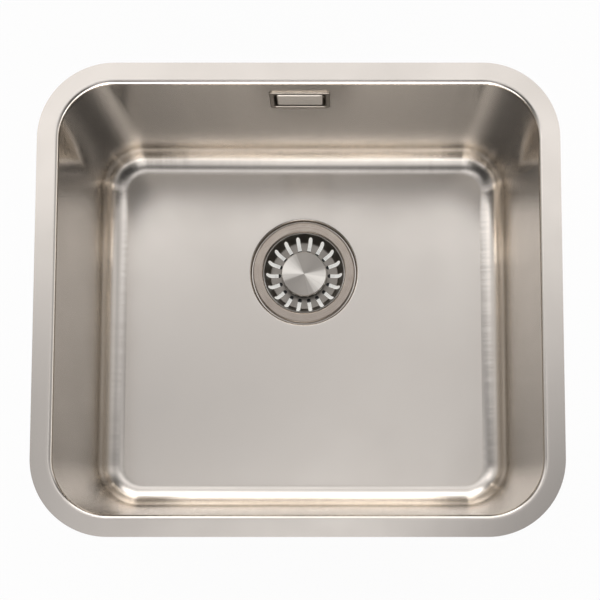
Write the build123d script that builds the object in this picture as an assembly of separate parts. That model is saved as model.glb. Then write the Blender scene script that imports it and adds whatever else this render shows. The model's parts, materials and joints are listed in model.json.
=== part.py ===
from build123d import *
import os
from math import cos, hypot, radians, sin, tan

# Undermount kitchen sink: a deep-drawn stainless bowl with a basket strainer waste in its
# floor and a rectangular overflow in its rear wall, piped to the waste.
# Millimetres. X runs to the right, Y to the rear, Z up. The origin is the middle of the
# flange's top face, the face that is bonded to the underside of the worktop.

# ---------------------------------------------------------------- bowl
sheet = 1.0  # stainless sheet of the bowl
bowl_length = 450.0  # mouth, left to right
bowl_width = 404.0  # mouth, front to rear
bowl_depth = 180.0  # flange face to the floor beside the waste
mouth_corner = 52.0  # plan radius of the mouth's corners
flange_width = 20.0
rim_roll = 4.0  # radius where the flange rolls over into the walls
wall_draft = 2.5  # degrees
floor_round = 24.0  # radius between walls and floor
floor_fall = 4.0  # fall of the floor from its farthest corner to the waste
drain_y = 62.0  # the waste stands this far behind the middle of the bowl
recess_radius = 58.3  # pressed recess round the waste
recess_depth = 5.0
recess_round = 1.0  # inner bend radius of the recess

# ---------------------------------------------------------------- sound-deadening pads
pad_thickness = 2.5
pad_corner = 12.0
floor_pad_length = 96.0  # each floor pad, left to right
floor_pad_width = 250.0
floor_pad_edge = 8.0  # bare floor between the pads and the floor's rounding
wall_pad_width = 210.0
wall_pad_height = 95.0
wall_pad_top = 32.0  # below the flange

# ---------------------------------------------------------------- general fits
seat_gap = 0.3  # between bodies that lift apart
slide_gap = 0.1  # running fit, on the radius
thread_gap = 0.05  # between mating threads, drawn as plain cylinders
hole_gap = 0.5  # round a piece that drops through a hole

# ---------------------------------------------------------------- basket
lip_radius = 45.0  # bore of the trim ring, where the basket drops in
dish_sheet = 0.8
dish_rim_height = 3.0  # upright rim of the dish
dish_depth = 18.0
dish_floor_radius = 38.3  # where the slanting wall meets the dish's floor
dish_bend = 3.0
slot_count = 18
slot_width = 4.2
slot_inner = 26.0  # radius reached by the slots' inner ends
slot_outer = 42.3
cap_radius = 25.0
cap_thickness = 4.5
cap_edge = 1.2
cap_lift = 7.5  # finger gap between dish and cap
cap_hollow = 2.5  # depth turned out of the cap's underside
cap_rim = 2.5  # rim left round that hollow
neck_radius = 6.0  # stem between dish and cap
stem_radius = 4.0
seal_radius = 29.0
seal_thickness = 3.0
seal_lip = 1.5  # wall of the seal's hanging lip
seal_drop = 4.0  # height of that lip
seal_bevel = 0.6
retainer_radius = 22.0
retainer_thickness = 2.5
detent_thickness = 2.0
detent_wall = 2.0  # radial width of the snap ring
foot_radius = 5.0  # foot of the stem, which keeps the snap ring in its groove
foot_height = 3.0
foot_bevel = 1.0

# ---------------------------------------------------------------- strainer cup and trim ring
trim_sheet = 0.8
trim_radius = 56.3
trim_bend = 1.5
trim_skirt_gap = 0.4  # between the trim ring's skirt and the sink
lip_height = 7.0  # how far the trim ring's bore reaches down
cup_wall = 2.2
cup_flange = 2.0
cup_seat_width = 6.0  # level seat that the seal closes on
cup_step = 5.0  # height of the shelf over that seat, close under the dish
cup_step_run = 2.0  # slant of the step between seat and shelf
cup_shelf_fall = 2.5  # fall of the shelf to the step
throat_radius = 25.0
throat_height = 13.0
grid_height = 3.0
grid_bar = 2.0
grid_spokes = 8
grid_ring_radius = 17.0
hub_radius = 9.0
hub_below = 5.0  # hub under the bolt's head
flange_seal_thickness = 1.5

# ---------------------------------------------------------------- waste body
body_wall = 3.0
body_flange_radius = 58.0
body_flange = 4.0
body_seal_thickness = 3.0
body_barrel = 34.0  # straight barrel under the flange
body_cone = 24.0
outlet_radius = 23.9  # 1 1/2 inch pipe thread, over the crests
outlet_length = 30.0
outlet_wall = 3.0
gusset_count = 8
gusset_thickness = 2.5
gusset_height = 20.0
boss_radius = 8.0
boss_height = 14.0
boss_drop = 14.0  # between the cup's hub and the boss
boss_ribs = 3
rib_thickness = 3.0
insert_radius = 5.5
insert_length = 12.0
bolt_radius = 3.0
bolt_head_radius = 5.5
bolt_head = 3.0
bolt_hole_gap = 0.2
socket_radius = 2.0  # hexagon socket in the bolt's head
socket_depth = 1.8

# ---------------------------------------------------------------- overflow
overflow_drop = 36.0  # flange face to the middle of the overflow
bezel_length = 59.0
bezel_height = 35.0
bezel_corner = 4.0
bezel_thickness = 1.4
bezel_edge = 0.8
pan_length = 50.0  # opening of the frame
pan_height = 26.5
pan_corner = 2.5
pan_wall = 0.8
pan_depth = 8.0
window_length = 40.0
window_height = 6.5
window_offset = 7.6  # the two windows lie above and below the middle
cover_length = 44.0
cover_height = 21.5
cover_corner = 1.5
cover_thickness = 1.2
cover_edge = 0.5
cover_proud = 0.6  # cover's face above the bowl's wall
clip_offset = 7.0  # clips left and right of the middle
clip_span = 8.0  # over a clip's two legs
clip_width = 6.0
clip_sheet = 0.5
clip_bend = 0.8
clip_reach = 3.5  # legs beyond the floor of the pan
screw_offset = 17.0
screw_radius = 2.0
screw_head_radius = 3.5
screw_head = 2.0
screw_length = 14.0
screw_slot = 0.9
gasket_thickness = 2.0
housing_margin = 6.0  # flange of the housing round the hole in the wall
housing_corner = 6.0
housing_flange = 2.5
housing_depth = 26.0
housing_wall = 2.0
housing_round = 3.0
screw_boss_radius = 4.0
boss_gap = 0.5  # left between pan and bosses, taken up when the screws are tightened

# ---------------------------------------------------------------- overflow pipe
pipe_radius = 9.0
pipe_wall = 1.6
pipe_bend = 30.0
spigot_radius = 10.0
spigot_length = 14.0
collar_thickness = 2.0
collar_proud = 1.4  # collar beyond the pipe
pipe_seal_thickness = 1.5
nut_grip = 10.0  # nut over the spigot
nut_lip = 2.5
nut_wall = 2.4
nut_ribs = 10
nut_rib_radius = 1.0
inlet_depth = 54.0  # pipe's inlet below the seat of the waste
inlet_reach = 16.0  # inlet beyond the barrel of the body

# ---------------------------------------------------------------- worked out from the above
floor_reach = hypot(bowl_length / 2, bowl_width / 2 + drain_y)
floor_sphere = floor_reach**2 / (2 * floor_fall)
draft_slope = tan(radians(wall_draft))
floor_inset = bowl_depth * draft_slope + floor_round
seat_z = -(bowl_depth + recess_depth)
waste_place = Location((0, drain_y, seat_z))

cup_bore = lip_radius + trim_sheet
cup_outer = cup_bore + cup_wall
waste_hole_radius = cup_outer + hole_gap
cup_flange_top = flange_seal_thickness + cup_flange
cup_bevel = trim_bend - trim_sheet / 2  # clears the bends of the trim ring
trim_top = cup_flange_top + trim_sheet

dish_radius = lip_radius - seat_gap
dish_top = cup_flange_top
dish_floor = dish_top - dish_depth
dish_under = dish_floor - dish_sheet
cap_under = dish_floor + cap_lift
seal_bottom = dish_under - seal_thickness
retainer_bottom = seal_bottom - retainer_thickness
cup_seat = seal_bottom - seal_drop - seat_gap
cup_seat_outer = throat_radius + cup_seat_width
cup_shelf_z = cup_seat + cup_step
cup_shelf_inner = cup_seat_outer + cup_step_run
cup_corner_z = cup_shelf_z + cup_shelf_fall
throat_bottom = cup_seat - throat_height
detent_top = cup_seat - detent_thickness
foot_top = detent_top - detent_thickness - slide_gap
stem_bottom = foot_top - foot_height
hub_bore = stem_radius + detent_wall + slide_gap
hub_seat = stem_bottom - hole_gap - bolt_head
hub_bottom = hub_seat - hub_below

body_top = -sheet - body_seal_thickness
body_bore = cup_outer + hole_gap
body_outer = body_bore + body_wall
barrel_bottom = body_top - body_flange - body_barrel
cone_bottom = barrel_bottom - body_cone
outlet_bottom = cone_bottom - outlet_length
outlet_bore = outlet_radius - outlet_wall
boss_top = hub_bottom - boss_drop
boss_bottom = boss_top - boss_height

wall_y = bowl_width / 2 - overflow_drop * draft_slope
wall_normal = (0, -cos(radians(wall_draft)), sin(radians(wall_draft)))
overflow_plane = Plane(origin=(0, wall_y, -overflow_drop), x_dir=(1, 0, 0), z_dir=wall_normal)
overflow_place = overflow_plane.location
hole_length = pan_length + 2 * pan_wall + 2 * hole_gap
hole_height = pan_height + 2 * pan_wall + 2 * hole_gap
hole_corner = pan_corner + pan_wall + hole_gap
housing_front = -sheet - gasket_thickness
housing_back = housing_front - housing_depth
housing_length = hole_length + 2 * housing_wall
housing_height = hole_height + 2 * housing_wall
pan_floor_back = -pan_depth - pan_wall
spigot_depth = (housing_front + housing_back) / 2
spigot_end = -housing_height / 2 - spigot_length


# ---------------------------------------------------------------- shared shapes
def block(length, height, corner, low, high):
    """A rounded rectangle extruded between two levels."""
    outline = Pos(0, 0, low) * RectangleRounded(length, height, corner)
    return extrude(outline, amount=high - low)


def turned(*points):
    """A body of revolution about Z from the radius and height of its corners."""
    outline = Polyline(*[(radius, 0, height) for radius, height in points], close=True)
    return revolve(make_face(outline), axis=Axis.Z)


def disc(radius, low, high, bore=0.0):
    """A round plate or ring between two levels."""
    return turned((bore, low), (radius, low), (radius, high), (bore, high))


def pressed_ring(points, bend, thickness):
    """Sheet metal of revolution: a bent middle line with a thickness, turned about Z."""
    middle = FilletPolyline(*[(radius, height) for radius, height in points], radius=bend)
    return revolve(Plane.XZ * trace(middle, line_width=thickness), axis=Axis.Z)


def rim_edges(solid, radius, height):
    """The circular edges of one radius at one height."""
    level = solid.edges().filter_by_position(Axis.Z, height - 0.01, height + 0.01)
    return level.filter_by(GeomType.CIRCLE).filter_by(lambda edge: abs(edge.radius - radius) < 0.01)


# ---------------------------------------------------------------- bowl and pads
def pressed_form(growth):
    """The hollow of the bowl, grown all round: drafted walls, a dished floor, one rounding."""
    mouth = RectangleRounded(
        bowl_length + 2 * growth, bowl_width + 2 * growth, mouth_corner + growth
    )
    walls = extrude(mouth, amount=bowl_depth + floor_round, dir=(0, 0, -1), taper=wall_draft)
    dish = Pos(0, drain_y, floor_sphere - bowl_depth) * Rot(90, 0, 0) * Sphere(floor_sphere + growth)
    form = walls & dish
    floor = form.faces().sort_by(Axis.Z)[0]
    return fillet(floor.edges(), floor_round + growth)


def recessed_form(growth):
    """The form with the waste's recess, both bends of which keep the sheet's thickness."""
    radius = recess_radius + growth
    plug = disc(radius, seat_z - growth, seat_z + 2 * recess_depth)
    plug = fillet(rim_edges(plug, radius, seat_z - growth), recess_round + growth)
    form = pressed_form(growth) + Pos(0, drain_y, 0) * plug
    circles = form.edges().filter_by(GeomType.CIRCLE)
    mouth = circles.filter_by(lambda edge: abs(edge.radius - radius) < 0.01).sort_by(Axis.Z)[-1]
    return fillet(mouth, recess_round + sheet - growth)


def make_bowl():
    """One drawn sheet: flange, rolled rim, walls, floor, recess and the two holes."""
    flange = block(
        bowl_length + 2 * flange_width,
        bowl_width + 2 * flange_width,
        mouth_corner + flange_width,
        -sheet,
        0,
    )
    outside = flange + recessed_form(sheet)
    underside = outside.faces().filter_by(Plane.XY).sort_by(Axis.Z)[-2]
    outside = fillet(underside.inner_wires()[0].edges(), rim_roll - sheet)
    bowl = outside - recessed_form(0)
    top = bowl.faces().sort_by(Axis.Z)[-1]
    bowl = fillet(top.inner_wires()[0].edges(), rim_roll)
    bowl -= waste_place * disc(waste_hole_radius, -2 * recess_depth, recess_depth)
    return bowl - overflow_place * block(hole_length, hole_height, hole_corner, -rim_roll, rim_roll)


def make_pads():
    """Five pads that follow the outside of the bowl: two under the floor, three on walls."""
    skin = pressed_form(sheet + pad_thickness) - pressed_form(sheet)
    half_floor = bowl_length / 2 - floor_inset - floor_pad_edge
    pad_x = half_floor - floor_pad_length / 2
    under = -bowl_depth - floor_round
    floor_pad = block(floor_pad_length, floor_pad_width, pad_corner, under, -bowl_depth / 2)
    wall_middle = -wall_pad_top - wall_pad_height / 2
    wall_outline = RectangleRounded(wall_pad_width, wall_pad_height, pad_corner)
    left = Plane(origin=(0, 0, wall_middle), x_dir=(0, 1, 0), z_dir=(-1, 0, 0))
    right = Plane(origin=(0, 0, wall_middle), x_dir=(0, 1, 0), z_dir=(1, 0, 0))
    front = Plane(origin=(0, 0, wall_middle), x_dir=(1, 0, 0), z_dir=(0, -1, 0))
    return {
        "sound_pad_floor_left": skin & Pos(-pad_x, 0, 0) * floor_pad,
        "sound_pad_floor_right": skin & Pos(pad_x, 0, 0) * floor_pad,
        "sound_pad_wall_left": skin & extrude(left * wall_outline, amount=bowl_length),
        "sound_pad_wall_right": skin & extrude(right * wall_outline, amount=bowl_length),
        "sound_pad_wall_front": skin & extrude(front * wall_outline, amount=bowl_width),
    }


# ---------------------------------------------------------------- basket
def make_basket_dish():
    """Pressed dish: upright rim, slanting wall, level floor and a ring of round-ended slots."""
    middle_radius = dish_radius - dish_sheet / 2
    middle_floor = dish_floor - dish_sheet / 2
    dish = pressed_ring(
        [
            (middle_radius, dish_top),
            (middle_radius, dish_top - dish_rim_height),
            (dish_floor_radius, middle_floor),
            (stem_radius + slide_gap, middle_floor),
        ],
        dish_bend,
        dish_sheet,
    )
    slot = Pos(0, 0, dish_under - 1) * SlotOverall(slot_outer - slot_inner, slot_width)
    punch = extrude(slot, amount=dish_depth + 2)
    return dish - PolarLocations((slot_inner + slot_outer) / 2, slot_count) * punch


def make_basket_cap():
    """Turned knob cap: a disc with a broken edge, hollow below, on a short socket."""
    top = cap_under + cap_thickness
    cap = disc(cap_radius, cap_under, top)
    cap = fillet(rim_edges(cap, cap_radius, top), cap_edge)
    hollow = disc(cap_radius - cap_rim, cap_under, cap_under + cap_hollow, bore=neck_radius)
    socket = disc(stem_radius, cap_under, cap_under + cap_hollow)
    return cap - hollow - socket


def make_basket_stem():
    """Stem from the cap through dish, seal and retainer, grooved for the snap ring."""
    return turned(
        (0, stem_bottom),
        (foot_radius - foot_bevel, stem_bottom),
        (foot_radius, stem_bottom + foot_bevel),
        (foot_radius, foot_top),
        (stem_radius, foot_top),
        (stem_radius, dish_floor),
        (neck_radius, dish_floor),
        (neck_radius, cap_under),
        (stem_radius, cap_under),
        (stem_radius, cap_under + cap_hollow),
        (0, cap_under + cap_hollow),
    )


def make_basket_seal():
    """Rubber disc under the dish with a hanging lip that closes on the cup's seat."""
    inner = seal_radius - seal_lip
    lip_end = seal_bottom - seal_drop
    return turned(
        (stem_radius, dish_under),
        (seal_radius - seal_bevel, dish_under),
        (seal_radius, dish_under - seal_bevel),
        (seal_radius, lip_end + seal_bevel),
        (seal_radius - seal_bevel, lip_end),
        (inner, lip_end),
        (inner - seal_bevel, seal_bottom),
        (stem_radius, seal_bottom),
    )


def make_basket_retainer():
    """Plate and collar that clamp the seal against the dish."""
    plate = disc(retainer_radius, retainer_bottom, seal_bottom, bore=stem_radius)
    return plate + disc(neck_radius, detent_top, retainer_bottom, bore=stem_radius)


# ---------------------------------------------------------------- strainer cup and trim ring
def make_trim_ring():
    """Pressed stainless ring that caps the cup's flange and lines its mouth."""
    half = trim_sheet / 2
    return pressed_ring(
        [
            (trim_radius - half, trim_skirt_gap),
            (trim_radius - half, trim_top - half),
            (lip_radius + half, trim_top - half),
            (lip_radius + half, trim_top - lip_height),
        ],
        trim_bend,
        trim_sheet,
    )


def make_cup():
    """Moulded cup: flange, wall, falling shelf, level seat, throat, strainer grid and hub."""
    flange_radius = trim_radius - trim_sheet - slide_gap
    shell = turned(
        (cup_bore, cup_flange_top - cup_bevel),
        (cup_bore + cup_bevel, cup_flange_top),
        (flange_radius - cup_bevel, cup_flange_top),
        (flange_radius, cup_flange_top - cup_bevel),
        (flange_radius, flange_seal_thickness),
        (cup_outer, flange_seal_thickness),
        (cup_outer, cup_corner_z - cup_wall),
        (cup_shelf_inner + cup_wall, cup_shelf_z - cup_wall),
        (cup_seat_outer + cup_wall, cup_seat - cup_wall),
        (throat_radius + cup_wall, cup_seat - cup_wall),
        (throat_radius + cup_wall, throat_bottom),
        (throat_radius, throat_bottom),
        (throat_radius, cup_seat),
        (cup_seat_outer, cup_seat),
        (cup_shelf_inner, cup_shelf_z),
        (cup_bore, cup_corner_z),
    )
    grid_top = throat_bottom + grid_height
    ring = disc(
        grid_ring_radius + grid_bar / 2, throat_bottom, grid_top, bore=grid_ring_radius - grid_bar / 2
    )
    spoke_length = throat_radius + cup_wall / 2 - hub_radius + grid_bar / 2
    spoke = Box(spoke_length, grid_bar, grid_height, align=(Align.MAX, Align.CENTER, Align.MIN))
    spoke = Pos(throat_radius + cup_wall / 2, 0, throat_bottom) * spoke
    spokes = PolarLocations(0, grid_spokes) * spoke
    hub = disc(hub_radius, hub_bottom, cup_seat - detent_thickness / 2)
    cup = shell + ring + spokes + hub
    cup -= disc(hub_bore, hub_seat, cup_seat)
    return cup - disc(bolt_radius + bolt_hole_gap, hub_bottom, hub_seat)


# ---------------------------------------------------------------- waste body
def make_waste_body():
    """Moulded body: flange, ribbed barrel, cone and outlet, side inlet, and a bolt boss."""
    outside = turned(
        (0, body_top),
        (body_flange_radius, body_top),
        (body_flange_radius, body_top - body_flange),
        (body_outer, body_top - body_flange),
        (body_outer, barrel_bottom),
        (outlet_radius, cone_bottom),
        (outlet_radius, outlet_bottom),
        (0, outlet_bottom),
    )
    inside = turned(
        (0, body_top),
        (body_bore, body_top),
        (body_bore, barrel_bottom + body_wall / 2),
        (outlet_bore, cone_bottom + body_wall / 2),
        (outlet_bore, outlet_bottom),
        (0, outlet_bottom),
    )
    gusset_top = body_top - body_flange
    gusset = Polyline(
        (body_outer - body_wall / 2, gusset_top),
        (body_flange_radius - body_wall, gusset_top),
        (body_outer - body_wall / 2, gusset_top - gusset_height),
        close=True,
    )
    gusset = extrude(Plane.XZ * make_face(gusset), amount=gusset_thickness / 2, both=True)
    gussets = PolarLocations(0, gusset_count, start_angle=180 / gusset_count) * gusset

    rib = Box(body_outer, rib_thickness, boss_height, align=(Align.MIN, Align.CENTER, Align.MIN))
    ribs = PolarLocations(0, boss_ribs, start_angle=-90) * (Pos(0, 0, boss_bottom) * rib)
    boss = disc(boss_radius, boss_bottom, boss_top) + ribs
    boss &= inside

    inlet = inlet_plane.location
    inlet_tube = inlet * disc(spigot_radius, body_bore - body_outer - inlet_reach, 0)
    inlet_bore = inlet * disc(pipe_radius - pipe_wall, -body_wall - 2 * inlet_reach, 0)
    body = outside + gussets + inlet_tube - inside - inlet_bore + boss
    return body - disc(insert_radius, boss_top - insert_length, boss_top)


def make_clamp_bolt():
    """Socket-head bolt that pulls cup and body together through the floor of the bowl."""
    head = disc(bolt_head_radius, hub_seat, hub_seat + bolt_head)
    socket = extrude(
        Pos(0, 0, hub_seat + bolt_head - socket_depth) * RegularPolygon(socket_radius, 6),
        amount=socket_depth,
    )
    return head + disc(bolt_radius, boss_top - insert_length, hub_seat) - socket


# ---------------------------------------------------------------- overflow
def make_overflow_frame():
    """Bezel on the wall with a pan behind it: two water windows, screw holes, clip slots."""
    bezel = block(bezel_length, bezel_height, bezel_corner, 0, bezel_thickness)
    bezel = fillet(bezel.faces().sort_by(Axis.Z)[-1].edges(), bezel_edge)
    pan = block(
        pan_length + 2 * pan_wall, pan_height + 2 * pan_wall, pan_corner + pan_wall, pan_floor_back, 0
    )
    frame = bezel + pan - block(pan_length, pan_height, pan_corner, -pan_depth, bezel_thickness)
    for side in (-1, 1):
        window = block(window_length, window_height, pan_corner, pan_floor_back, 0)
        clip_hole = block(
            clip_span + 2 * hole_gap, clip_width + 2 * hole_gap, hole_gap, pan_floor_back, 0
        )
        frame -= Pos(0, side * window_offset, 0) * window
        frame -= Pos(side * clip_offset, 0, 0) * clip_hole
        frame -= Pos(side * screw_offset, 0, 0) * disc(screw_radius + bolt_hole_gap, pan_floor_back, 0)
    return frame


def make_overflow_cover():
    """Bare cover plate with softened front edges."""
    plate = block(
        cover_length, cover_height, cover_corner, cover_proud - cover_thickness, cover_proud
    )
    return fillet(plate.faces().sort_by(Axis.Z)[-1].edges(), cover_edge)


def make_cover_clips():
    """Two spring clips of bent strip, whose legs stand in the slots of the pan."""
    back = cover_proud - cover_thickness - clip_sheet / 2
    tip = pan_floor_back - clip_reach
    half = (clip_span - clip_sheet) / 2
    line = FilletPolyline((-half, tip), (-half, back), (half, back), (half, tip), radius=clip_bend)
    strip = extrude(Plane.XZ * trace(line, line_width=clip_sheet), amount=clip_width / 2, both=True)
    return [Pos(side * clip_offset, 0, 0) * strip for side in (-1, 1)]


def make_overflow_screws():
    """Two pan-head screws from the pan into the bosses of the housing."""
    seat = -pan_depth
    screw = disc(screw_head_radius, seat, seat + screw_head)
    screw = fillet(rim_edges(screw, screw_head_radius, seat + screw_head), screw_head / 3)
    screw += disc(screw_radius, seat - screw_length, seat)
    slot_depth = screw_head / 2
    slot_length = 2 * (screw_head_radius - screw_head)
    for angle in (0, 90):
        slot = Box(slot_length, screw_slot, slot_depth, align=(Align.CENTER, Align.CENTER, Align.MAX))
        screw -= Pos(0, 0, seat + screw_head) * Rot(0, 0, angle) * slot
    return [Pos(side * screw_offset, 0, 0) * screw for side in (-1, 1)]


def make_overflow_gasket():
    """Flat rubber frame between the bowl's wall and the housing."""
    margin = 2 * housing_margin
    ring = block(
        hole_length + margin, hole_height + margin, housing_corner, housing_front, -sheet
    )
    return ring - block(hole_length, hole_height, hole_corner, housing_front, -sheet)


def make_overflow_housing():
    """Moulded box behind the wall: flange, rounded back, screw bosses and a spigot below."""
    margin = 2 * housing_margin
    flange = block(
        hole_length + margin,
        hole_height + margin,
        housing_corner,
        housing_front - housing_flange,
        housing_front,
    )
    outer_corner = hole_corner + housing_wall
    shell = block(housing_length, housing_height, outer_corner, housing_back, housing_front)
    shell = fillet(shell.faces().sort_by(Axis.Z)[0].edges(), housing_round)
    inside_back = housing_back + housing_wall
    hollow = block(hole_length, hole_height, hole_corner, inside_back, housing_front)
    hollow = fillet(hollow.faces().sort_by(Axis.Z)[0].edges(), housing_round - housing_wall)
    down = Plane(origin=(0, 0, spigot_depth), x_dir=(1, 0, 0), z_dir=(0, -1, 0)).location
    spigot = down * disc(spigot_radius, hole_height / 2, -spigot_end)
    bore = down * disc(pipe_radius - pipe_wall, 0, -spigot_end)
    boss_front = pan_floor_back - boss_gap
    boss = disc(screw_boss_radius, housing_back + housing_wall / 2, boss_front)
    bosses = [Pos(side * screw_offset, 0, 0) * boss for side in (-1, 1)]
    screw_tip = -pan_depth - screw_length - 1
    holes = [
        Pos(side * screw_offset, 0, 0) * disc(screw_radius + thread_gap, screw_tip, boss_front)
        for side in (-1, 1)
    ]
    return flange + shell + spigot - hollow - bore + bosses - holes


# ---------------------------------------------------------------- pipe and its two unions
spigot_mouth = overflow_place * Plane(
    origin=(0, spigot_end, spigot_depth), x_dir=(1, 0, 0), z_dir=(0, -1, 0)
).location
inlet_plane = Plane(
    origin=(0, body_outer + inlet_reach, -inlet_depth), x_dir=(1, 0, 0), z_dir=(0, 1, 0)
)
inlet_mouth = waste_place * inlet_plane.location


def make_pipe():
    """Moulded pipe down behind the rear wall and forward to the waste, collared at its ends."""
    start = (spigot_mouth * Pos(0, 0, pipe_seal_thickness)).position
    end = (inlet_mouth * Pos(0, 0, pipe_seal_thickness)).position
    drop = start.Z - end.Z
    corner = Vector(0, start.Y - drop * draft_slope, end.Z)
    route = FilletPolyline(start, corner, end, radius=pipe_bend)
    begin = spigot_mouth * Pos(0, 0, pipe_seal_thickness)
    outside = sweep(begin * Circle(pipe_radius), path=route)
    bore = sweep(begin * Circle(pipe_radius - pipe_wall), path=route)
    collar = disc(pipe_radius + collar_proud, 0, collar_thickness)
    for mouth in (spigot_mouth, inlet_mouth):
        outside += mouth * Pos(0, 0, pipe_seal_thickness) * collar
    for mouth in (spigot_mouth, inlet_mouth):
        bore += mouth * disc(pipe_radius - pipe_wall, 0, pipe_seal_thickness + collar_thickness)
    return outside - bore


def make_union_nut():
    """Ribbed union nut: grips the spigot's thread and pulls the pipe's collar onto its seal."""
    collar_top = pipe_seal_thickness + collar_thickness
    outer = spigot_radius + nut_wall
    nut = disc(outer, -nut_grip, collar_top + nut_lip)
    nut = chamfer(rim_edges(nut, outer, collar_top + nut_lip), nut_lip / 3)
    rib = Pos(0, 0, -nut_grip) * Cylinder(
        nut_rib_radius, nut_grip + collar_top, align=(Align.CENTER, Align.CENTER, Align.MIN)
    )
    nut += PolarLocations(outer, nut_ribs) * rib
    nut -= disc(spigot_radius + thread_gap, -nut_grip, 0)
    nut -= disc(pipe_radius + collar_proud + thread_gap, 0, collar_top)
    return nut - disc(pipe_radius + slide_gap, collar_top, collar_top + nut_lip)


def make_union_seal():
    """Flat rubber ring between a spigot and the pipe's collar."""
    return disc(spigot_radius, 0, pipe_seal_thickness, bore=pipe_radius - pipe_wall)


# ---------------------------------------------------------------- assembly
nodes = {"bowl": make_bowl()}
nodes.update(make_pads())

waste_pieces = {
    "strainer_trim_ring": make_trim_ring(),
    "strainer_cup": make_cup(),
    "cup_flange_seal": disc(
        trim_radius - trim_sheet - slide_gap,
        0,
        flange_seal_thickness,
        bore=waste_hole_radius,
    ),
    "waste_body_seal": disc(body_flange_radius - 1, body_top, -sheet, bore=waste_hole_radius),
    "waste_body": make_waste_body(),
    "clamp_bolt": make_clamp_bolt(),
    "bolt_insert": disc(insert_radius, boss_top - insert_length, boss_top, bore=bolt_radius + thread_gap),
    "basket_dish": make_basket_dish(),
    "basket_knob_cap": make_basket_cap(),
    "basket_stem": make_basket_stem(),
    "basket_seal": make_basket_seal(),
    "basket_seal_retainer": make_basket_retainer(),
    "basket_snap_ring": disc(
        stem_radius + detent_wall, detent_top - detent_thickness, detent_top, bore=stem_radius + slide_gap
    ),
}
overflow_pieces = {
    "overflow_frame": make_overflow_frame(),
    "overflow_cover": make_overflow_cover(),
    "overflow_cover_clips": make_cover_clips(),
    "overflow_screws": make_overflow_screws(),
    "overflow_gasket": make_overflow_gasket(),
    "overflow_housing": make_overflow_housing(),
}
for pieces, place in ((waste_pieces, waste_place), (overflow_pieces, overflow_place)):
    for name, piece in pieces.items():
        solids = piece if isinstance(piece, list) else [piece]
        nodes[name] = [place * solid for solid in solids]

nodes["overflow_pipe"] = make_pipe()
for end, mouth in (("upper", spigot_mouth), ("lower", inlet_mouth)):
    nodes[f"pipe_nut_{end}"] = mouth * make_union_nut()
    nodes[f"pipe_seal_{end}"] = mouth * make_union_seal()

os.makedirs("parts", exist_ok=True)
for name, piece in nodes.items():
    solids = [solid for shape in (piece if isinstance(piece, list) else [piece]) for solid in shape.solids()]
    export_step(Compound(children=solids), f"parts/{name}.step")
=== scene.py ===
import json
import math

import bmesh
import bpy
import numpy as np
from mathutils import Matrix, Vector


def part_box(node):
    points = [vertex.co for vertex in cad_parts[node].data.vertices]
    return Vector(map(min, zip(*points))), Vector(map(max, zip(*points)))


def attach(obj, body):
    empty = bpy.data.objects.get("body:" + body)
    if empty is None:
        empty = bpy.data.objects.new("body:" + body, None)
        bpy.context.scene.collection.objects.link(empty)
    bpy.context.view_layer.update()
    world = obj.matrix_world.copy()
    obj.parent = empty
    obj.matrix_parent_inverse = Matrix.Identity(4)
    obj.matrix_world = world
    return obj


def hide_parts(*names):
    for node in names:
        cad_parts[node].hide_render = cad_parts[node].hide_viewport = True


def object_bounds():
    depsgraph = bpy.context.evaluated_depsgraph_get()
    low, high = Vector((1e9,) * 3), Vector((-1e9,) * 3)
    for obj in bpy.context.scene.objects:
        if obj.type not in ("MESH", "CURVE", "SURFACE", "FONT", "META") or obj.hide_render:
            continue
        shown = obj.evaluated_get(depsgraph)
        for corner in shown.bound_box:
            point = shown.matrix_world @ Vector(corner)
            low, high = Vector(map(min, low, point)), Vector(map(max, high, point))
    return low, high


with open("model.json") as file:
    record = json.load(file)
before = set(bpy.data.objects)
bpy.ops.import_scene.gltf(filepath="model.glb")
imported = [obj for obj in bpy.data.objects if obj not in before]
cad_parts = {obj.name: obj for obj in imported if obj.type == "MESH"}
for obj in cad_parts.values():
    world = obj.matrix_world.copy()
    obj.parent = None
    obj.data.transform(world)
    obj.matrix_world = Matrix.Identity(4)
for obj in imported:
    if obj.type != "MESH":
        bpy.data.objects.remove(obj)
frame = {"nodes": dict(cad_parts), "record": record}
cad_box = [list(corner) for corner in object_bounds()]

MM = 0.001
CREASE = math.radians(35)  # bends sharper than this stay sharp to the eye

# ---------------------------------------------------------------- sizes of the sheet, in millimetres
BOWL_LOW, BOWL_HIGH = (np.array(corner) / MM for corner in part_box("bowl"))
CUP_LOW, CUP_HIGH = (np.array(corner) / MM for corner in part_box("strainer_cup"))
SHEET = 1.0
FLANGE_WIDTH = 20.0
MOUTH_CORNER = 52.0
MOUTH_X = BOWL_HIGH[0] - FLANGE_WIDTH
MOUTH_Y = BOWL_HIGH[1] - FLANGE_WIDTH
RIM_ROLL = 4.0
DRAFT = math.radians(2.5)
FLOOR_ROUND = 24.0
FLOOR_FALL = 4.0
RECESS_RADIUS = 58.3
RECESS_DEPTH = 5.0
RECESS_ROUND = 1.0
WASTE_HOLE = 48.5
DRAIN = np.array([0.0, (CUP_LOW[1] + CUP_HIGH[1]) / 2])
DEPTH = -BOWL_LOW[2] - SHEET - RECESS_DEPTH
FLOOR_SPHERE = (MOUTH_X**2 + (MOUTH_Y + DRAIN[1]) ** 2) / (2 * FLOOR_FALL)

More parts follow.
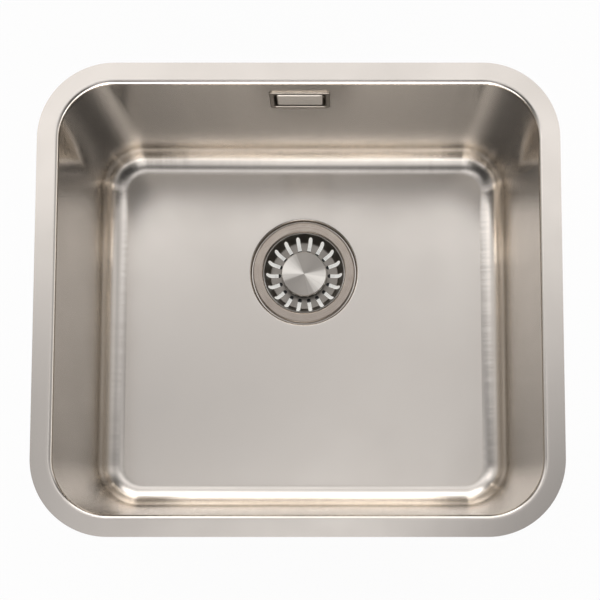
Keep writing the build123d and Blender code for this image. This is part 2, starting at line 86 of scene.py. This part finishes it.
OVERFLOW_DROP = 36.0
OVERFLOW_HOLE_X = 26.3
OVERFLOW_HOLE_Z = 14.55
OPENING_X = 25.1  # just outside the frame's opening
OPENING_Z = 13.4
FRAME_FRONT = 1.3  # just behind the frame's front face, measured out from the wall
FRAME_EDGE = 1.1  # rounding of the opening's front edge
COVER_X = 22.0
COVER_Z = 10.75
COVER_CORNER = 1.5
COVER_BACK = -0.6  # both faces are measured out from the wall
COVER_FACE = 0.9
COVER_ROLL = 1.2
WALL_SPOT = np.array([0.0, MOUTH_Y - OVERFLOW_DROP * math.tan(DRAFT), -OVERFLOW_DROP])
WALL_UP = np.array([0.0, math.sin(DRAFT), math.cos(DRAFT)])
WALL_OUT = np.array([0.0, -math.cos(DRAFT), math.sin(DRAFT)])


# ---------------------------------------------------------------- meshes
def grid_faces(rows, columns, closed_rows=False):
    """Quads of a grid whose columns wrap round: corner (r, c) is vertex r * columns + c."""
    r = np.arange(rows if closed_rows else rows - 1)
    here, there = np.meshgrid(r, np.arange(columns), indexing="ij")
    below, after = (here + 1) % rows, (there + 1) % columns
    corners = [(here, there), (here, after), (below, after), (below, there)]
    return np.stack([(row * columns + column).ravel() for row, column in corners], axis=1)


def make_piece(name, mesh):
    """Puts a mesh into the scene as a piece."""
    piece = bpy.data.objects.new(name, mesh)
    bpy.context.scene.collection.objects.link(piece)
    return piece


def make_surface(name, vertices, faces):
    """A piece in metres from vertices in millimetres."""
    mesh = bpy.data.meshes.new(name)
    mesh.from_pydata((vertices * MM).tolist(), [], faces.tolist())
    return make_piece(name, mesh)


def lay_grain(piece, faces, row_place, column_place, plan, walls):
    """Stores, at each corner of each face, where the corner lies along and across the brushing,
    in metres. On the faces named by walls that is the way round the path and the way down the
    profile, with 1 as the third number; on the others it is X and Y, with 0."""
    columns = len(column_place) - 1
    row, column = np.divmod(faces, columns)
    wraps = (column == 0) & (column.max(1, keepdims=True) == columns - 1)
    column = np.where(wraps, columns, column)
    down = np.stack([column_place[column], row_place[row], np.ones(faces.shape)], axis=2)
    flat = np.concatenate([plan[faces], np.zeros((*faces.shape, 1))], axis=2)
    grain = np.where(walls[:, None, None], down, flat) * [MM, MM, 1]
    layer = piece.data.attributes.new("grain", "FLOAT_VECTOR", "CORNER")
    layer.data.foreach_set("vector", grain.ravel())
    way = piece.data.uv_layers.new(name="grain_way")
    way.uv.foreach_set("vector", grain[..., :2].ravel())


def bake(piece):
    """Makes a piece's modifiers part of its mesh."""
    ready = piece.evaluated_get(bpy.context.evaluated_depsgraph_get())
    piece.data = bpy.data.meshes.new_from_object(ready)
    piece.modifiers.clear()


def smooth_over(piece):
    """Smooth shading with creases at sharp bends, and normals weighted by face area, so that
    flat stretches beside a bend stay flat to the eye."""
    piece.data.polygons.foreach_set("use_smooth", np.ones(len(piece.data.polygons), bool))
    piece.data.set_sharp_from_angle(angle=CREASE)
    weighted = piece.modifiers.new("weighted", "WEIGHTED_NORMAL")
    weighted.keep_sharp = True
    bake(piece)


def arc(centre_a, centre_b, radius, start, end, count):
    """Points on an arc: centre + radius * (cos, sin) of angles spread evenly from start to end."""
    angles = np.radians(np.linspace(start, end, count))
    return centre_a + radius * np.cos(angles), centre_b + radius * np.sin(angles)


def rounded_path(half_x, half_y, corner, side_x, side_y, corner_steps):
    """A rounded rectangle as core points and normals: a point at an inset lies at
    core + (corner - inset) * normal. side_x and side_y give the places along the straights."""
    core_x, core_y = half_x - corner, half_y - corner
    turn = np.radians(np.linspace(0, 90, corner_steps + 2)[1:-1])
    core, normal = [], []
    for quarter in range(4):
        facing = quarter * math.pi / 2
        out = np.array([math.cos(facing), math.sin(facing)])
        along = np.array([-out[1], out[0]])
        reach_out, reach_along = (core_x, core_y) if quarter % 2 == 0 else (core_y, core_x)
        places = side_y if quarter % 2 == 0 else side_x
        core.append(out * reach_out + np.outer(places, along))
        normal.append(np.tile(out, (len(places), 1)))
        core.append(np.tile(out * reach_out + along * reach_along, (len(turn), 1)))
        normal.append(np.stack([np.cos(facing + turn), np.sin(facing + turn)], axis=1))
    return np.concatenate(core), np.concatenate(normal)


def bowl_side(growth, core, normal, steps):
    """One face of the sheet, from the flange's edge to the waste hole, as rows of a grid.
    The profile, in inset and height, is flange, roll, drafted wall and rounding, carried round
    the rounded rectangle. The floor runs straight in plan from the rounding to the recess and
    lies on a shallow sphere. growth moves the face outwards by the sheet's thickness."""
    slope = math.tan(DRAFT)
    columns = len(core)
    ones = np.ones(columns)

    roll = RIM_ROLL - growth
    roll_z = -RIM_ROLL
    roll_inset = RIM_ROLL * slope - RIM_ROLL / math.cos(DRAFT)
    roll_rows = arc(roll_inset, roll_z, roll, 90, math.degrees(DRAFT), steps["roll"])
    flange_rows = np.linspace(-FLANGE_WIDTH, roll_inset, steps["flange"] + 1)[:-1]

    round_radius = FLOOR_ROUND + growth
    edge_inset = DEPTH * slope + FLOOR_ROUND
    edge = core + (MOUTH_CORNER - edge_inset) * normal
    from_drain = edge - DRAIN
    edge_z = -DEPTH - growth + (from_drain**2).sum(1) / (2 * FLOOR_SPHERE)
    fall = -(from_drain * normal).sum(1) / FLOOR_SPHERE
    lift = np.sqrt(1 + fall**2)
    wall_shift = round_radius / math.cos(DRAFT) - growth
    centre_z = (edge_z + fall * (wall_shift - edge_inset) + round_radius * lift) / (1 + fall * slope)
    centre_inset = wall_shift - centre_z * slope
    floor_turn = np.degrees(np.arctan(fall))
    spread = np.linspace(0, 1, steps["round"])[:, None]
    angles = np.radians(180 + math.degrees(DRAFT) + spread * (90 - math.degrees(DRAFT) + floor_turn))
    round_inset = centre_inset + round_radius * np.cos(angles)
    round_z = centre_z + round_radius * np.sin(angles)

    wall_top_z = roll_rows[1][-1]
    hole_rows = -OVERFLOW_DROP + OVERFLOW_HOLE_Z * math.cos(DRAFT) * np.array([1, -1])
    upper = np.linspace(wall_top_z, hole_rows[0], steps["wall"])[1:-1]
    middle = np.linspace(hole_rows[0], hole_rows[1], steps["wall"])
    share = np.linspace(0, 1, 2 * steps["wall"])[1:-1, None]
    lower = hole_rows[1] + share * (round_z[0] - hole_rows[1])
    wall_z = np.concatenate([np.outer(np.concatenate([upper, middle]), ones), lower])
    wall_inset = -wall_z * slope - growth

    inset = np.concatenate(
        [np.outer(flange_rows, ones), np.outer(roll_rows[0], ones), wall_inset, round_inset]
    )
    z = np.concatenate(
        [np.full((len(flange_rows), columns), -growth), np.outer(roll_rows[1], ones), wall_z, round_z]
    )
    plan = core + (MOUTH_CORNER - inset)[..., None] * normal
    shell = np.concatenate([plan, z[..., None]], axis=2)

    bend = RECESS_ROUND + SHEET - growth
    recess = RECESS_RADIUS + growth
    toward = (plan[-1] - DRAIN) / np.linalg.norm(plan[-1] - DRAIN, axis=1)[:, None]
    ring = DRAIN + (recess + bend) * toward
    share = np.linspace(0, 1, steps["floor"] + 1)[1:, None, None]
    floor = plan[-1] + share * (ring - plan[-1])
    floor_z = -DEPTH - growth + ((floor - DRAIN) ** 2).sum(2) / (2 * FLOOR_SPHERE)
    floor = np.concatenate([floor, floor_z[..., None]], axis=2)

    lip_z = floor_z[-1].mean()
    seat_z = -DEPTH - RECESS_DEPTH - growth
    foot = RECESS_ROUND + growth
    lip = arc(recess + bend, lip_z - bend, bend, 90, 180, steps["recess"] + 1)
    toe = arc(recess - foot, seat_z + foot, foot, 0, -90, steps["recess"] + 1)
    seat = np.linspace(recess - foot, WASTE_HOLE, 4)[1:]
    radius = np.concatenate([lip[0][1:], toe[0], seat])
    height = np.concatenate([lip[1][1:], toe[1], np.full(len(seat), seat_z)])
    recess_plan = DRAIN + radius[:, None, None] * toward
    recess_z = np.outer(height, ones)[..., None]
    recess_grid = np.concatenate([recess_plan, recess_z], axis=2)
    return np.concatenate([shell, floor, recess_grid]), len(flange_rows) + len(roll_rows[0]) + len(upper)


def make_bowl():
    """Both faces of the sheet joined at the flange's edge and round the waste hole, with the
    overflow's hole cut out along grid lines."""
    straight_x, straight_y = MOUTH_X - MOUTH_CORNER, MOUTH_Y - MOUTH_CORNER
    hole_sides = [-OVERFLOW_HOLE_X, OVERFLOW_HOLE_X]
    side_x = np.union1d(np.linspace(-straight_x, straight_x, 47), hole_sides)
    side_y = np.linspace(-straight_y, straight_y, 41)
    core, normal = rounded_path(MOUTH_X, MOUTH_Y, MOUTH_CORNER, side_x, side_y, 23)
    fine = {"flange": 7, "roll": 9, "wall": 10, "round": 25, "floor": 26, "recess": 6}
    coarse = {"flange": 3, "roll": 5, "wall": 4, "round": 13, "floor": 8, "recess": 4}
    inside, inside_hole = bowl_side(0.0, core, normal, fine)
    outside, outside_hole = bowl_side(SHEET, core, normal, coarse)
    grid = np.concatenate([inside, outside[::-1]])
    rows, columns = grid.shape[:2]
    faces = grid_faces(rows, columns, closed_rows=True)

    row, column = np.divmod(faces[:, 0], columns)
    middle = grid.reshape(-1, 3)[faces].mean(1)
    in_inside = (row >= inside_hole) & (row < inside_hole + fine["wall"] - 1)
    last = rows - 1 - outside_hole
    in_outside = (row <= last - 1) & (row > last - coarse["wall"])
    behind = (normal[column][:, 1] > 0.99) & (np.abs(middle[:, 0]) < OVERFLOW_HOLE_X)
    faces = faces[~(behind & (in_inside | in_outside))]

    faces = faces[:, ::-1]
    bowl = make_surface("bowl_sheet", grid.reshape(-1, 3), faces)
    mouth = core + MOUTH_CORNER * normal
    mouth = np.concatenate([mouth, mouth[:1]])
    column_place = np.concatenate([[0], np.cumsum(np.linalg.norm(np.diff(mouth, axis=0), axis=1))])
    row_place = np.concatenate([[0], np.cumsum(np.linalg.norm(np.diff(grid[:, 0], axis=0), axis=1))])
    row = faces.min(1) // columns
    walls = np.zeros(len(faces), bool)
    for size, place in ((fine, row), (coarse, rows - 2 - row)):
        shell_rows = size["flange"] + size["roll"] + 4 * size["wall"] - 4 + size["round"]
        walls |= (place >= size["flange"] + size["roll"]) & (place < shell_rows - 1)
    lay_grain(bowl, faces, row_place, column_place, grid.reshape(-1, 3)[:, :2], walls)
    edit = bmesh.new()
    edit.from_mesh(bowl.data)
    bmesh.ops.holes_fill(edit, edges=[])
    rim = [edge for edge in edit.edges if edge.is_boundary]
    bmesh.ops.bridge_loops(edit, edges=rim)
    bmesh.ops.recalc_face_normals(edit, faces=edit.faces)
    edit.to_mesh(bowl.data)
    edit.free()
    smooth_over(bowl)
    return bowl


def make_overflow_frame():
    """A copy of the CAD's frame, merged, with the sharp front edge of its opening rounded, so
    that the upper and lower bars each catch the light along a line. That edge is every edge
    whose ends both lie on the front face and inside the opening's outline."""
    mesh = bpy.data.meshes.new("overflow_bezel")
    edit = bmesh.new()
    edit.from_mesh(frame["nodes"]["overflow_frame"].data)
    bmesh.ops.remove_doubles(edit, verts=edit.verts, dist=0.001 * MM)
    edit.to_mesh(mesh)
    edit.free()
    places, ends = np.empty(3 * len(mesh.vertices)), np.empty(2 * len(mesh.edges), int)
    mesh.vertices.foreach_get("co", places)
    mesh.edges.foreach_get("vertices", ends)
    off = places.reshape(-1, 3) / MM - WALL_SPOT
    front = off @ WALL_OUT > FRAME_FRONT
    inside = (np.abs(off[:, 0]) < OPENING_X) & (np.abs(off @ WALL_UP) < OPENING_Z)
    lip = (front & inside)[ends.reshape(-1, 2)].all(1)
    weights = mesh.attributes.new("bevel_weight_edge", "FLOAT", "EDGE")
    weights.data.foreach_set("value", lip.astype(float))
    bezel = make_piece("overflow_bezel", mesh)
    rounding = bezel.modifiers.new("rounding", "BEVEL")
    rounding.limit_method = "WEIGHT"
    rounding.width = FRAME_EDGE * MM
    rounding.segments = 4
    rounding.use_clamp_overlap = False
    bake(bezel)
    smooth_over(bezel)
    return bezel


def make_overflow_cover():
    """The cover as a plate with a rolled edge. Each row is the rounded rectangle moved inwards
    by the profile's inset, at the profile's height above the wall: straight side, then a
    quarter round to the face. Both faces are flat."""
    sides = [np.array([-1, 1]) * (half - COVER_CORNER) for half in (COVER_X, COVER_Z)]
    core, normal = rounded_path(COVER_X, COVER_Z, COVER_CORNER, *sides, 5)
    inset, proud = arc(COVER_ROLL, COVER_FACE - COVER_ROLL, COVER_ROLL, 180, 90, 7)
    inset, proud = np.concatenate([[0.0], inset]), np.concatenate([[COVER_BACK], proud])
    flat = core + (COVER_CORNER - inset)[:, None, None] * normal
    grid = flat[..., :1] * [1, 0, 0] + flat[..., 1:] * WALL_UP + proud[:, None, None] * WALL_OUT
    faces = grid_faces(*grid.shape[:2])
    cover = make_surface("overflow_plate", (grid + WALL_SPOT).reshape(-1, 3), faces)
    edit = bmesh.new()
    edit.from_mesh(cover.data)
    bmesh.ops.holes_fill(edit, edges=edit.edges)
    bmesh.ops.recalc_face_normals(edit, faces=edit.faces)
    edit.to_mesh(cover.data)
    edit.free()
    smooth_over(cover)
    return cover


# ---------------------------------------------------------------- materials
def srgb(code):
    """A hex colour turned to linear light, with full alpha."""
    channels = [int(code[i : i + 2], 16) / 255 for i in (1, 3, 5)]
    linear = [c / 12.92 if c <= 0.04045 else ((c + 0.055) / 1.055) ** 2.4 for c in channels]
    return (*linear, 1.0)


def add(tree, kind, inputs=None, **settings):
    """Adds a node with its settings. An input given as a socket is linked, any other is set."""
    made = tree.nodes.new(kind)
    for name, value in settings.items():
        setattr(made, name, value)
    for name, value in (inputs or {}).items():
        if isinstance(value, bpy.types.NodeSocket):
            tree.links.new(value, made.inputs[name])
        else:
            made.inputs[name].default_value = value
    return made


def new_material(name):
    """An empty node material with its output and the surface's Object coordinates."""
    material = bpy.data.materials.new(name)
    material.use_nodes = True
    tree = material.node_tree
    tree.nodes.clear()
    output = add(tree, "ShaderNodeOutputMaterial")
    coordinates = add(tree, "ShaderNodeTexCoord").outputs["Object"]
    return material, tree, output, coordinates


def pattern(tree, place, per_metre, detail=2.0):
    """Noise from 0 to 1 with so many waves to the metre along each axis."""
    scaled = add(tree, "ShaderNodeVectorMath", {0: place, 1: per_metre}, operation="MULTIPLY")
    return add(
        tree, "ShaderNodeTexNoise", {"Vector": scaled.outputs[0], "Scale": 1.0, "Detail": detail}
    ).outputs["Fac"]


def between(tree, value, low, high):
    """A pattern's middle stretch spread over a range of plain numbers."""
    limits = {"Value": value, "From Min": 0.3, "From Max": 0.7, "To Min": low, "To Max": high}
    return add(tree, "ShaderNodeMapRange", limits).outputs[0]


def shade(tree, value, first, second):
    """A colour that wanders between two hex colours with a pattern."""
    spread = between(tree, value, 0.0, 1.0)
    colours = {"Factor": spread, "A": srgb(first), "B": srgb(second)}
    return add(tree, "ShaderNodeMix", colours, data_type="RGBA").outputs[2]


def relief(tree, height, strength, depth, under=None):
    """A bump of some depth in metres, laid over another when one is given."""
    inputs = {"Height": height, "Strength": strength, "Distance": depth}
    if under is not None:
        inputs["Normal"] = under
    return add(tree, "ShaderNodeBump", inputs).outputs[0]


def finish_material(material, tree, output, **inputs):
    """Closes a material with one surface shader. Underscores stand for the spaces in names."""
    named = {name.replace("_", " "): value for name, value in inputs.items()}
    shader = add(tree, "ShaderNodeBsdfPrincipled", named)
    tree.links.new(shader.outputs[0], output.inputs[0])
    return material


def off_waste_axis(tree, place):
    """The level offset from the waste's axis."""
    offset = add(
        tree, "ShaderNodeVectorMath", {0: place, 1: (0, -DRAIN[1] * MM, 0)}, operation="ADD"
    )
    flat = add(tree, "ShaderNodeVectorMath", {0: offset.outputs[0], 1: (1, 1, 0)}, operation="MULTIPLY")
    return flat.outputs[0]


def from_waste_axis(tree, place):
    """The distance from the waste's axis, as a vector, for marks left by turning."""
    offset = off_waste_axis(tree, place)
    length = add(tree, "ShaderNodeVectorMath", {0: offset}, operation="LENGTH")
    return add(tree, "ShaderNodeCombineXYZ", {0: length.outputs["Value"]}).outputs[0]


def painted_highlight_sectors(tree, place, azimuth):
    """A painted highlight for turned steel: high in two opposite sectors about the waste's axis, with
    finer streaks between them.
    """
    heading = add(tree, "ShaderNodeVectorMath", {0: off_waste_axis(tree, place)}, operation="NORMALIZE")
    turn = math.radians(azimuth)
    middle = {0: heading.outputs[0], 1: (math.cos(turn), math.sin(turn), 0)}
    lean = add(tree, "ShaderNodeVectorMath", middle, operation="DOT_PRODUCT").outputs["Value"]
    square = add(tree, "ShaderNodeMath", {0: lean, 1: lean}, operation="MULTIPLY")
    streaks = pattern(tree, heading.outputs[0], (5, 5, 5), 4.0)
    broad = {0: square.outputs[0], 1: 0.75, 2: -0.25}
    sector = add(tree, "ShaderNodeMath", broad, operation="MULTIPLY_ADD").outputs[0]
    fine = {0: streaks, 1: 0.5, 2: sector}
    return add(tree, "ShaderNodeMath", fine, operation="MULTIPLY_ADD").outputs[0]


def drawn_sheet():
    """Stainless 304 sheet, deep drawn and then satin brushed. It half mirrors, softly. Fine
    lines run round the walls and across the floor; real ones are 0.1 mm apart and are drawn
    coarser, at about 1 mm, to be seen at all. They spread each reflection across themselves,
    so bands of light and shade have soft edges. Drawing marks run down the walls and bend the
    reflections at the corners. Slight clouds show where the sheet was stretched."""
    material, tree, output, place = new_material("satin_stainless")
    grain = add(tree, "ShaderNodeAttribute", attribute_name="grain").outputs["Vector"]
    on_wall = add(tree, "ShaderNodeSeparateXYZ", {0: grain}).outputs["Z"]
    lines = pattern(tree, grain, (9, 900, 1), 3.0)
    marks = pattern(tree, grain, (70, 5, 1), 3.0)
    cloud = pattern(tree, place, (16, 16, 16))
    brushed = relief(tree, lines, 0.03, 0.0002)
    wall_share = add(
        tree, "ShaderNodeMapRange", {"Value": on_wall, "To Min": 0.03, "To Max": 0.22}
    ).outputs[0]
    return finish_material(
        material,
        tree,
        output,
        Base_Color=shade(tree, cloud, "#dbd5cd", "#d6d0c8"),
        Metallic=1.0,
        Roughness=between(tree, cloud, 0.2, 0.23),
        Anisotropic=0.7,
        Anisotropic_Rotation=0.25,
        Tangent=add(tree, "ShaderNodeTangent", direction_type="UV_MAP", uv_map="grain_way").outputs[0],
        Normal=relief(tree, marks, wall_share, 0.0008, brushed),
    )


def pressed_steel(name, first, second, smooth, rough):
    """Stainless strip, pressed and brushed lengthways: the overflow's frame and cover."""
    material, tree, output, place = new_material(name)
    lines = pattern(tree, place, (30, 1500, 1500), 3.0)
    return finish_material(
        material,
        tree,
        output,
        Base_Color=shade(tree, lines, first, second),
        Metallic=1.0,
        Roughness=between(tree, lines, smooth, rough),
        Normal=relief(tree, lines, 0.06, 0.0001),
    )


def spun_steel(name, first, second, smooth, rough):
    """Stainless sheet, pressed and polished on a spindle: faint rings round the waste's axis,
    really 0.05 mm apart and drawn at 0.5 mm, with uneven polish."""
    material, tree, output, place = new_material(name)
    rings = pattern(tree, from_waste_axis(tree, place), (2000, 1, 1), 3.0)
    cloud = pattern(tree, place, (90, 90, 90))
    return finish_material(
        material,
        tree,
        output,
        Base_Color=shade(tree, cloud, first, second),
        Metallic=1.0,
        Roughness=between(tree, rings, smooth, rough),
        Normal=relief(tree, rings, 0.08, 0.0001),
    )


def turned_steel():
    """Solid stainless bar faced on a lathe: the tool leaves fine rings, really 0.1 mm apart
    and drawn at 0.6 mm, which spread each light into a fan about the middle. The studio is too
    even to show the fan by itself, so two paler sectors stand for it."""
    material, tree, output, place = new_material("turned_steel")
    rings = pattern(tree, from_waste_axis(tree, place), (1700, 1, 1), 2.0)
    around = add(tree, "ShaderNodeTangent", direction_type="RADIAL", axis="Z").outputs[0]
    return finish_material(
        material,
        tree,
        output,
        # Base colour: painted highlight, two paler sectors standing for the fan of light from the turned
        # rings.
        Base_Color=shade(tree, painted_highlight_sectors(tree, place, 155), "#afaaa3", "#f6f2ea"),
        Metallic=1.0,
        Roughness=between(tree, rings, 0.28, 0.36),
        Anisotropic=0.9,
        Anisotropic_Rotation=0.25,
        Tangent=around,
        Normal=relief(tree, rings, 0.05, 0.0001),
    )


def steel_fastener():
    """Cold-headed stainless wire, tumbled: small dents and scratches in a dull shine."""
    material, tree, output, place = new_material("steel_fastener")
    dents = pattern(tree, place, (700, 700, 700), 4.0)
    return finish_material(
        material,
        tree,
        output,
        Base_Color=shade(tree, dents, "#c4c0b9", "#aca79f"),
        Metallic=1.0,
        Roughness=between(tree, dents, 0.24, 0.38),
        Normal=relief(tree, dents, 0.15, 0.0001),
    )


def white_polypropylene(name, first, second, glow):
    """Injection-moulded polypropylene: warm white, a waxy sheen, a fine spark-eroded skin and
    the faint flow clouds of the moulding. The plastic is translucent; glow is painted light,
    an even emission that makes the plastic brighter than its lighting gives, most seen in shade."""
    material, tree, output, place = new_material(name)
    skin = pattern(tree, place, (1500, 1500, 1500), 3.0)
    flow = pattern(tree, place, (25, 25, 60))
    return finish_material(
        material,
        tree,
        output,
        Base_Color=shade(tree, flow, first, second),
        Roughness=between(tree, skin, 0.32, 0.44),
        IOR=1.49,
        Emission_Color=srgb("#fbfaf6"),
        Emission_Strength=glow,
        Normal=relief(tree, skin, 0.1, 0.0001),
    )


def black_rubber():
    """Moulded black rubber: dull, with a grey bloom in patches and a slightly open skin."""
    material, tree, output, place = new_material("black_rubber")
    bloom = pattern(tree, place, (120, 120, 120), 4.0)
    skin = pattern(tree, place, (1800, 1800, 1800), 2.0)
    return finish_material(
        material,
        tree,
        output,
        Base_Color=shade(tree, bloom, "#141516", "#26272a"),
        Roughness=between(tree, bloom, 0.5, 0.72),
        IOR=1.52,
        Normal=relief(tree, skin, 0.2, 0.0001),
    )


def damping_pad():
    """Bitumen sheet rolled with mineral filler: dark grey, pebbled, with paler grains."""
    material, tree, output, place = new_material("damping_pad")
    pebbles = pattern(tree, place, (420, 420, 420), 4.0)
    grains = pattern(tree, place, (1100, 1100, 1100), 1.0)
    return finish_material(
        material,
        tree,
        output,
        Base_Color=shade(tree, grains, "#37393b", "#54575a"),
        Roughness=between(tree, pebbles, 0.7, 0.9),
        Normal=relief(tree, pebbles, 0.5, 0.0004),
    )


def brass():
    """Free-cutting brass turned from bar, a little tarnished between the tool's rings."""
    material, tree, output, place = new_material("brass")
    rings = pattern(tree, from_waste_axis(tree, place), (2500, 1, 1), 2.0)
    tarnish = pattern(tree, place, (200, 200, 200), 3.0)
    return finish_material(
        material,
        tree,
        output,
        Base_Color=shade(tree, tarnish, "#cfae62", "#a98445"),
        Metallic=1.0,
        Roughness=between(tree, rings, 0.22, 0.36),
        Normal=relief(tree, rings, 0.08, 0.0001),
    )


# ---------------------------------------------------------------- pieces
materials = {
    "satin_stainless": pressed_steel("satin_stainless_strip", "#aca59c", "#a19a91", 0.26, 0.34),
    "polished_steel": spun_steel("polished_steel", "#cfc9c1", "#c6c0b8", 0.14, 0.2),
    "turned_steel": turned_steel(),
    "steel_fastener": steel_fastener(),
    "white_polypropylene": white_polypropylene("white_polypropylene", "#f6f5f1", "#efeee8", 0.0),
    "black_rubber": black_rubber(),
    "damping_pad": damping_pad(),
    "brass": brass(),
}
own_material = {
    # The strainer's cup: a darker copy of the white plastic with painted light, a glow that makes it look
    # bright white through the basket's slots though it lies in shade.
    "strainer_cup": white_polypropylene("glow_painted_polypropylene", "#c8c7c3", "#c2c1bd", 0.52),
    # The basket's dish: a darker, rougher copy of the polished steel; the darker colour is painted shade
    # for the deep dish.
    "basket_dish": spun_steel("shade_painted_dish_steel", "#a39e97", "#948f88", 0.34, 0.44),
    "strainer_trim_ring": spun_steel("satin_ring_steel", "#b8aea3", "#aea398", 0.24, 0.32),
}
slot_of = {part["node"]: part["material_slot"] for part in frame["record"]["subparts"]}
for name, piece in frame["nodes"].items():
    piece.data.materials.clear()
    piece.data.materials.append(own_material.get(name, materials[slot_of[name]]))

polished_strip = pressed_steel("polished_strip", "#e2dcd4", "#d6d0c8", 0.5, 0.6)
for made, material, body, node in (
    (make_bowl(), drawn_sheet(), "sink", "bowl"),
    (make_overflow_frame(), materials["satin_stainless"], "sink", "overflow_frame"),
    (make_overflow_cover(), polished_strip, "overflow_cover", "overflow_cover"),
):
    made.data.materials.clear()
    made.data.materials.append(material)
    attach(made, body)
    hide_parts(node)

# ---------------------------------------------------------------- floor, light and camera
FLOOR_Z = cad_box[0][2] - 4 * MM
FLOOR_HALF = 6.0  # metres
FLOOR_GLOW = 0.94  # share of the floor that is plain white to the camera and in reflections


def make_floor():
    """A plain pale floor: nearly white to the camera and in reflections, and shaded a little."""
    corners = [(x * FLOOR_HALF, y * FLOOR_HALF, FLOOR_Z) for x, y in ((-1, -1), (1, -1), (1, 1), (-1, 1))]
    mesh = bpy.data.meshes.new("floor")
    mesh.from_pydata(corners, [], [(0, 1, 2, 3)])
    floor = make_piece("floor", mesh)
    material, tree, output, place = new_material("pale_floor")
    path = add(tree, "ShaderNodeLightPath")
    seen = add(
        tree,
        "ShaderNodeMath",
        {0: path.outputs["Is Camera Ray"], 1: path.outputs["Is Glossy Ray"]},
        operation="MAXIMUM",
    )
    share = add(tree, "ShaderNodeMath", {0: seen.outputs[0], 1: FLOOR_GLOW}, operation="MULTIPLY")
    matt = add(tree, "ShaderNodeBsdfDiffuse", {"Color": srgb("#f4f4f4")})
    glow = add(tree, "ShaderNodeEmission", {"Color": (1, 1, 1, 1), "Strength": 1.0})
    mix = add(tree, "ShaderNodeMixShader", {0: share.outputs[0], 1: matt.outputs[0], 2: glow.outputs[0]})
    tree.links.new(mix.outputs[0], output.inputs[0])
    mesh.materials.append(material)


# The studio's lamps, each a soft round patch of sky: azimuth from +X towards +Y, tilt from
# straight up and spread, all in degrees, then strength.
OVERHEAD = [(0, 3, 5, 0.9), (240, 7, 5, 1.0), (198, 14, 5.5, 0.8)]
OVER_THE_REAR = [(30, 28, 10, 0.8), (60, 22, 6, 1.0), (90, 22, 6, 1.0), (120, 22, 6, 1.2)]
LEFT = [(140, 31, 7, 1.0), (150, 42, 8, 1.5), (165, 66, 14, 0.8)]
REAR = [(75, 55, 9, 3.4), (105, 55, 9, 4.2)]
RIGHT = [(15, 55, 9, 0.8), (18, 86, 11, 1.5), (342, 86, 11, 3.8)]
FRONT = [(270, 42, 8, 1.3), (275, 80, 12, 6.0)]
LOW_FRONT = [(azimuth, 86, 11, 5.2) for azimuth in (234, 270, 306)]
LIGHTS = OVERHEAD + OVER_THE_REAR + LEFT + REAR + RIGHT + FRONT + LOW_FRONT
ALL_ROUND = 0.03  # faint even light between the lamps


def make_world():
    """White to the camera. Everything else is lit by the patches of LIGHTS added up: each
    falls off as exp((cos(angle from its middle) - 1) / spread squared)."""
    world = bpy.data.worlds.new("studio")
    bpy.context.scene.world = world
    world.use_nodes = True
    tree = world.node_tree
    tree.nodes.clear()
    output = add(tree, "ShaderNodeOutputWorld")
    direction = add(tree, "ShaderNodeTexCoord").outputs["Generated"]
    total = ALL_ROUND
    for azimuth, tilt, spread, strength in LIGHTS:
        turn, lean, sharp = math.radians(azimuth), math.radians(tilt), 1 / math.radians(spread) ** 2
        middle = (math.sin(lean) * math.cos(turn), math.sin(lean) * math.sin(turn), math.cos(lean))
        facing = add(tree, "ShaderNodeVectorMath", {0: direction, 1: middle}, operation="DOT_PRODUCT")
        fall = {0: facing.outputs["Value"], 1: sharp, 2: -sharp}
        nearness = add(tree, "ShaderNodeMath", fall, operation="MULTIPLY_ADD").outputs[0]
        glow = add(tree, "ShaderNodeMath", {0: nearness}, operation="EXPONENT").outputs[0]
        gain = {0: glow, 1: strength, 2: total}
        total = add(tree, "ShaderNodeMath", gain, operation="MULTIPLY_ADD").outputs[0]
    height = add(tree, "ShaderNodeSeparateXYZ", {0: direction}).outputs["Z"]
    warmth = {"Factor": height, "A": (1.03, 1.0, 0.98, 1), "B": (1.01, 1.0, 1.02, 1)}
    colour = add(tree, "ShaderNodeMix", warmth, data_type="RGBA").outputs[2]
    light = add(tree, "ShaderNodeBackground", {"Color": colour, "Strength": total})
    white = add(tree, "ShaderNodeBackground", {"Color": (1, 1, 1, 1), "Strength": 1.0})
    path = add(tree, "ShaderNodeLightPath")
    mix = add(
        tree,
        "ShaderNodeMixShader",
        {0: path.outputs["Is Camera Ray"], 1: light.outputs[0], 2: white.outputs[0]},
    )
    tree.links.new(mix.outputs[0], output.inputs[0])


def make_camera():
    """Above the front edge, looking down and a little to the rear, as in the photograph."""
    data = bpy.data.cameras.new("camera")
    data.sensor_width = 36.0
    data.lens = 61.93
    data.shift_x = -0.0559
    data.shift_y = 0.2
    camera = bpy.data.objects.new("camera", data)
    camera.location = (0.0327, -0.1885, 0.9427)
    camera.rotation_euler = (math.radians(4.432), 0, 0)
    bpy.context.scene.collection.objects.link(camera)
    bpy.context.scene.camera = camera


make_floor()
make_world()
make_camera()
bpy.context.scene.view_settings.view_transform = "Standard"
